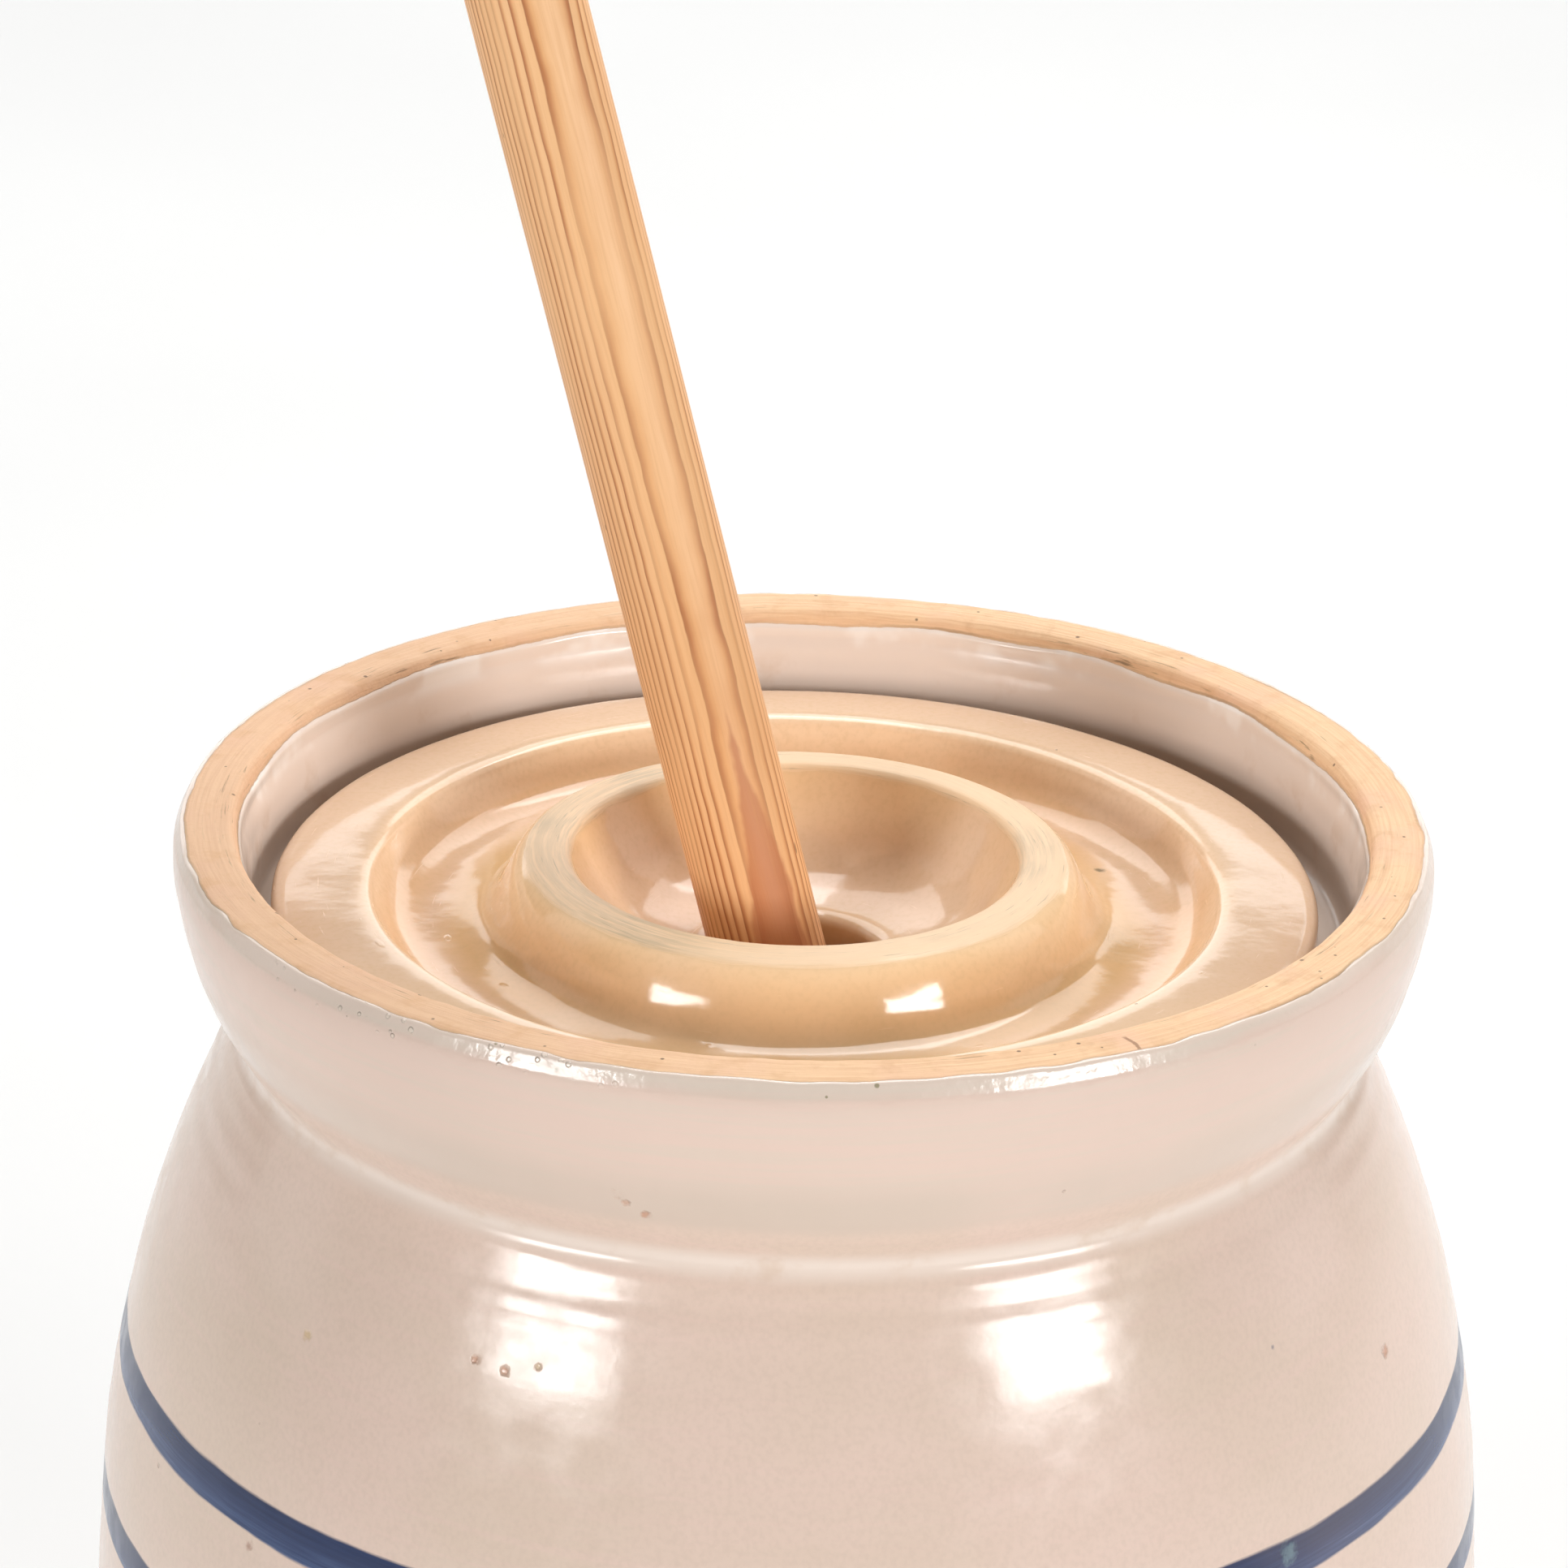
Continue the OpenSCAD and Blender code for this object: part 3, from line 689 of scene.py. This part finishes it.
def cane_glaze():
    """Amber glaze, browner where it pools, rubbed pale on the lip and grey on top of the ring."""
    s = Shader("cane_glaze", roughness=0.08, ior=1.54)
    x = s.plus(s.x, -LID_X * MM)
    radius = s.measure("LENGTH", s.vector(x, s.y))
    polar = s.vector(s.x, s.y, radius)
    height = s.math("MULTIPLY_ADD", s.z, 1 / MM, -LEDGE_Z)
    cloud = s.noise(0.03, 3, offset=2)
    fine = s.noise(0.0012, 3, offset=4)
    sway = s.plus(s.times(radius, 1 / (LID_R * MM)), s.swing(cloud, 0.05))
    amber = srgb(240, 198, 150)
    colour = s.ramp(sway, [
        (0.17, srgb(214, 184, 150)), (0.26, srgb(230, 198, 168)), (0.36, srgb(226, 190, 154)),
        (0.43, srgb(234, 196, 150)), (0.52, srgb(238, 204, 162)), (0.565, amber), (0.64, srgb(226, 182, 132)),
        (0.70, srgb(226, 187, 153)), (0.77, srgb(234, 190, 147)), (0.805, srgb(242, 208, 172)),
        (0.85, srgb(228, 195, 164)), (0.95, srgb(222, 187, 156)), (1.0, srgb(214, 180, 150))])
    colour = s.mix(s.fade(s.noise(0.05, 2, offset=9), 0.45, 0.7, 0.0, 0.45), colour, srgb(234, 204, 176))
    colour = s.mix(s.fade(fine, 0.4, 0.75, 0.0, 0.2), colour, srgb(206, 170, 122))
    # painted light: the glaze lighter towards the front, where the rim's shade falls on the lid
    colour = s.mix(s.fade(s.y, -0.03, -0.08, 0.0, 0.5), colour, srgb(250, 216, 176))
    # glaze pooled in patches in the foot of the collar
    pool = s.times(s.between(s.times(radius, 1 / MM), RING_OUTER_R + 5, RING_OUTER_R + 15, 4),
                   s.fade(s.noise(0.06, 2, offset=15), 0.42, 0.62))
    colour = s.mix(s.times(pool, 0.45), colour, srgb(184, 152, 104))
    # the ring's top is rubbed through to a greyer ground, with concentric scratches
    uneven = s.plus(height, s.swing(s.noise(0.01, 3, offset=51), 2.0))
    ring = s.times(s.fade(uneven, RING_H - 2.0, RING_H - 0.4),
                   s.fade(radius, (RING_OUTER_R + 1.8) * MM, (RING_OUTER_R - 0.5) * MM))
    rub = s.noise((0.02, 0.02, 0.0008), 4, 0.7, polar, offset=21)
    patchy = s.plus(s.fade(s.noise(0.03, 3, offset=24), 0.45, 0.65, 0.1, 0.6),
                    s.fade(s.x, 0.0, -0.04, 0.0, 0.35))
    worn = s.mix(s.times(s.fade(rub, 0.35, 0.6), patchy), srgb(230, 196, 156), srgb(186, 164, 132))
    scratch = s.fade(s.noise((0.01, 0.01, 0.0004), 3, 0.6, polar, offset=27), 0.62, 0.72, 0, 0.45)
    worn = s.mix(scratch, worn, srgb(112, 104, 86))
    colour = s.mix(ring, colour, worn)
    specks = s.spots(0.012, 0.0004, 0.35, offset=33)
    # short raised flecks and scratches round the trough, which catch the light
    around = s.times(s.math("ARCTAN2", s.y, x), LIP_R * MM)
    unrolled = s.vector(around, radius)
    flecks = s.times(s.spots(0.0042, 0.0007, 0.3, offset=57, place=unrolled, stretch=(2.5, 1, 1)),
                     s.fade(s.noise(0.03, 2, offset=59), 0.45, 0.6),
                     s.fade(radius, (RING_OUTER_R - 1) * MM, (RING_OUTER_R + 5) * MM))
    colour = s.mix(s.times(specks, 0.7), colour, srgb(116, 100, 66))
    chip_place = Vector((57.6, 27.5, LEDGE_Z + 1)) * MM
    chip = s.near(chip_place, 0.0011, s.swing(fine, 1.5))
    colour = s.mix(s.times(chip, 0.8), colour, srgb(92, 84, 58))
    under = s.fade(height, -5.5, -7.5)
    beyond_hole = s.fade(radius, (HOLE_R + 2.2) * MM, (HOLE_R + 4.2) * MM)
    colour = s.mix(s.times(under, beyond_hole), colour, srgb(214, 184, 150))
    s.shared(colour)
    scuff = s.noise((0.012, 0.012, 0.0005), 4, 0.6, polar, offset=37)
    dull = s.math("MAXIMUM", s.times(ring, 0.42), s.fade(scuff, 0.66, 0.72, 0.0, 0.22))
    s.rough(s.plus(dull, 0.1))
    skin = s.swing(s.noise(0.0035, 2, offset=45), 0.00003)
    s.bump(s.plus(skin, s.times(ring, rub, 0.00012), s.times(specks, -0.00006), s.times(flecks, 0.00006)))
    return s.material


def make_lid():
    piece = turned("lid_ware", lid_outline(), 300, lid_relief, centre=(LID_X, 0), closed=True)
    finish_piece(piece, cane_glaze(), "lid", "cane_glaze", "lid")


# ---------------------------------------------------------------- the dasher

def pine(name, heart_side, run_out, start, light, dark):
    """Sawn pine. Growth layers are nearly flat sheets that cut the wood, so their lines crowd at its sides.
    heart_side is the direction, in degrees about the grain, from which the sheets are seen flat on;
    run_out is how far they climb per length of grain, and start shifts them, in metres."""
    year_width = 0.00125
    flame_tip, flame_foot = 0.338, 0.262
    dry_above, soaked_below = 0.305, 0.250
    s = Shader(name, roughness=0.46, ior=1.45, own_frame=True)
    sway = s.swing(s.noise((0.02, 0.02, 0.05), 2, 0.5, offset=1), 0.0009)
    quiver = s.swing(s.noise((0.008, 0.008, 0.012), 3, 0.5, offset=6), 1.0)
    away = math.radians(heart_side)
    across = s.plus(s.times(s.x, -math.cos(away)), s.times(s.y, -math.sin(away)))
    layer = s.plus(across, start, s.times(s.z, run_out), sway, s.times(quiver, 0.00045))
    turn = s.math("FRACT", s.times(layer, 1 / year_width))
    growth = s.ramp(turn, [(0.0, light), (0.42, light), (0.62, srgb(234, 176, 120)), (0.82, dark),
                           (0.94, srgb(166, 98, 58)), (1.0, light)])
    # some years' lines are dark and some are faint
    year = s.vector(layer, s.times(s.z, 0.03))
    strength = s.fade(s.noise(0.0026, 2, 0.6, place=year, offset=37), 0.32, 0.62, 0.35, 1.0)
    growth = s.mix(strength, light, growth)
    wide = s.fade(s.noise((0.02, 0.02, 0.3), 2, offset=12), 0.3, 0.7)
    colour = s.mix(s.times(wide, 0.15), growth, srgb(240, 186, 132))
    # low on the handle one layer comes to the surface as a pointed red flame
    sideways = s.plus(s.times(s.x, -math.sin(away)), s.times(s.y, math.cos(away)))
    reach = s.plus(s.math("ABSOLUTE", sideways), s.times(quiver, 0.004))
    half_width = s.fade(s.z, flame_tip, flame_foot, -0.001, 0.0055)
    flame = s.times(s.fade(s.math("SUBTRACT", reach, half_width), 0.0006, -0.0006),
                    s.fade(across, 0, -0.003), s.fade(s.z, flame_tip, 0.315))
    colour = s.mix(s.times(flame, 0.8), colour, srgb(196, 124, 82))
    fibre = s.noise((0.0005, 0.0005, 0.02), 3, 0.6, offset=17)
    colour = s.mix(s.fade(fibre, 0.4, 0.8, 0.0, 0.28), colour, srgb(214, 158, 108))
    ducts = s.spots(0.006, 0.00028, 0.3, offset=23, stretch=(1, 1, 4))
    colour = s.mix(s.times(ducts, 0.6), colour, srgb(120, 78, 50))
    handled = s.fade(s.noise((0.03, 0.03, 0.06), 3, offset=29), 0.5, 0.75, 0.0, 0.25)
    colour = s.mix(handled, colour, srgb(226, 168, 118))
    soaked = s.times(s.fade(s.z, dry_above, soaked_below, 0.0, 0.9), s.fade(turn, 0.3, 0.9, 0.55, 1.0),
                     s.fade(s.noise((0.006, 0.006, 0.05), 3, offset=31), 0.3, 0.6, 0.3, 1.0))
    colour = s.mix(soaked, colour, srgb(160, 90, 54))
    s.shared(colour)
    s.rough(s.fade(fibre, 0.2, 0.8, 0.4, 0.55))
    s.bump(s.plus(s.times(fibre, 0.00005), s.times(s.fade(turn, 0.5, 0.9), 0.000012),
                  s.times(ducts, -0.0001)))
    return s.material


def handle_relief(angle, points, _along):
    """A hand-finished pole: slight flats that twist slowly, and long soft hollows."""
    z = points[..., 2]
    sides = rise(z, 20, 60)
    flats = 0.07 * np.cos(5 * angle + z / 120) + 0.05 * np.cos(3 * angle - z / 210 + 1)
    return sides * (flats + 0.05 * lumps(points * np.array([1, 1, 0.15]), 31, 14) - 0.16), {}


def cut_kerf(piece):
    """Saws the tapered kerf that the wedge fills into the tenon's end."""
    end_w, root_w, end_z, root_z, reach = 3.4, 1.0, -SLAT_T / 2 - 1, SLAT_T / 2 - 3, TENON_R + 1
    corners = [(-end_w / 2, end_z), (end_w / 2, end_z), (root_w / 2, root_z), (-root_w / 2, root_z)]
    verts = [(x * MM, y * MM, z * MM) for y in (-reach, reach) for x, z in corners]
    faces = [(0, 1, 2, 3), (7, 6, 5, 4)] + [(i, i + 4, (i + 1) % 4 + 4, (i + 1) % 4) for i in range(4)]
    mesh = bpy.data.meshes.new("kerf")
    mesh.from_pydata(verts, [], faces)
    saw = bpy.data.objects.new("kerf", mesh)
    scene.collection.objects.link(saw)
    cut = piece.modifiers.new("kerf", "BOOLEAN")
    cut.operation, cut.object, cut.solver = "DIFFERENCE", saw, "EXACT"
    bpy.context.view_layer.update()
    done = bpy.data.meshes.new_from_object(piece.evaluated_get(bpy.context.evaluated_depsgraph_get()))
    piece.modifiers.clear()
    piece.data = done
    bpy.data.objects.remove(saw)


def softened(node, name, place, width):
    """A copy of a CAD node in a frame of its own, with its facets joined and its sharp edges rounded."""
    mesh = frame["nodes"][node].data.copy()
    mesh.name = name
    mesh.transform(place.inverted())
    work = bmesh.new()
    work.from_mesh(mesh)
    bmesh.ops.remove_doubles(work, verts=work.verts, dist=1e-6)
    bmesh.ops.dissolve_limit(work, angle_limit=math.radians(1), verts=work.verts, edges=work.edges)
    sharp = [e for e in work.edges if len(e.link_faces) == 2 and e.calc_face_angle() > math.radians(40)]
    bmesh.ops.bevel(work, geom=sharp, offset=width, segments=3, profile=0.5, affect="EDGES")
    work.to_mesh(mesh)
    work.free()
    mesh.set_sharp_from_angle(angle=math.radians(30))
    piece = bpy.data.objects.new(name, mesh)
    scene.collection.objects.link(piece)
    settle(piece, place)
    return piece


def make_dasher():
    light, dark = srgb(247, 196, 143), srgb(190, 119, 71)
    handle_pine = pine("handle_pine", 135, -0.00145, 0.0007, light, dark)
    slat_pine = pine("slat_pine", 80, 0.02, 0, srgb(236, 190, 142), srgb(190, 130, 86))
    dark_pine = pine("peg_pine", 30, 0.03, 0, srgb(212, 160, 112), srgb(150, 100, 66))
    outline = chain(
        straight([0, HANDLE_TOP], [HANDLE_R - HANDLE_END_R, HANDLE_TOP], 1.5),
        arc(HANDLE_R - HANDLE_END_R, HANDLE_TOP - HANDLE_END_R, HANDLE_END_R, 90, 0, 8),
        straight([HANDLE_R, HANDLE_TOP - HANDLE_END_R], [HANDLE_R, SLAT_T / 2 + 1], 4),
        arc(HANDLE_R - 1, SLAT_T / 2 + 1, 1, 0, -90, 4),
        straight([HANDLE_R - 1, SLAT_T / 2], [TENON_R, SLAT_T / 2], 1),
        straight([TENON_R, SLAT_T / 2], [TENON_R, -SLAT_T / 2], 2),
        straight([TENON_R, -SLAT_T / 2], [0, -SLAT_T / 2], 2))
    handle = turned("handle_pole", outline, 96, handle_relief)
    cut_kerf(handle)
    settle(handle, DASHER)
    finish_piece(handle, handle_pine, "dasher", "pine", "dasher_handle")
    for node, turn in (("cross_slat_lower", 45), ("cross_slat_upper", -45)):
        along_slat = Matrix.Rotation(math.radians(turn), 4, "Z") @ Matrix.Rotation(math.radians(90), 4, "Y")
        slat = softened(node, node + "_wood", DASHER @ along_slat, 0.0009)
        finish_piece(slat, slat_pine, "dasher", "pine", node)
    for node in PEGS + ["handle_wedge"]:
        small = softened(node, node + "_wood", DASHER, 0.0003)
        finish_piece(small, dark_pine, "dasher", "dark_pine", node)


# ---------------------------------------------------------------- the floor

def make_floor():
    """A plain pale sheet."""
    side = 8
    mesh = bpy.data.meshes.new("floor")
    corners = [(-side, -side, 0), (side, -side, 0), (side, side, 0), (-side, side, 0)]
    mesh.from_pydata(corners, [], [(0, 1, 2, 3)])
    floor = bpy.data.objects.new("floor", mesh)
    scene.collection.objects.link(floor)
    s = Shader("floor_paper", roughness=0.7)
    s.shared(s.mix(s.fade(s.noise(0.5, 2), 0.3, 0.7), srgb(231, 231, 230), srgb(235, 235, 234)))
    floor.data.materials.append(s.material)


make_camera()
make_world()
make_lights()
make_floor()
make_crock()
make_lid()
make_dasher()
scene.view_settings.view_transform = "Standard"
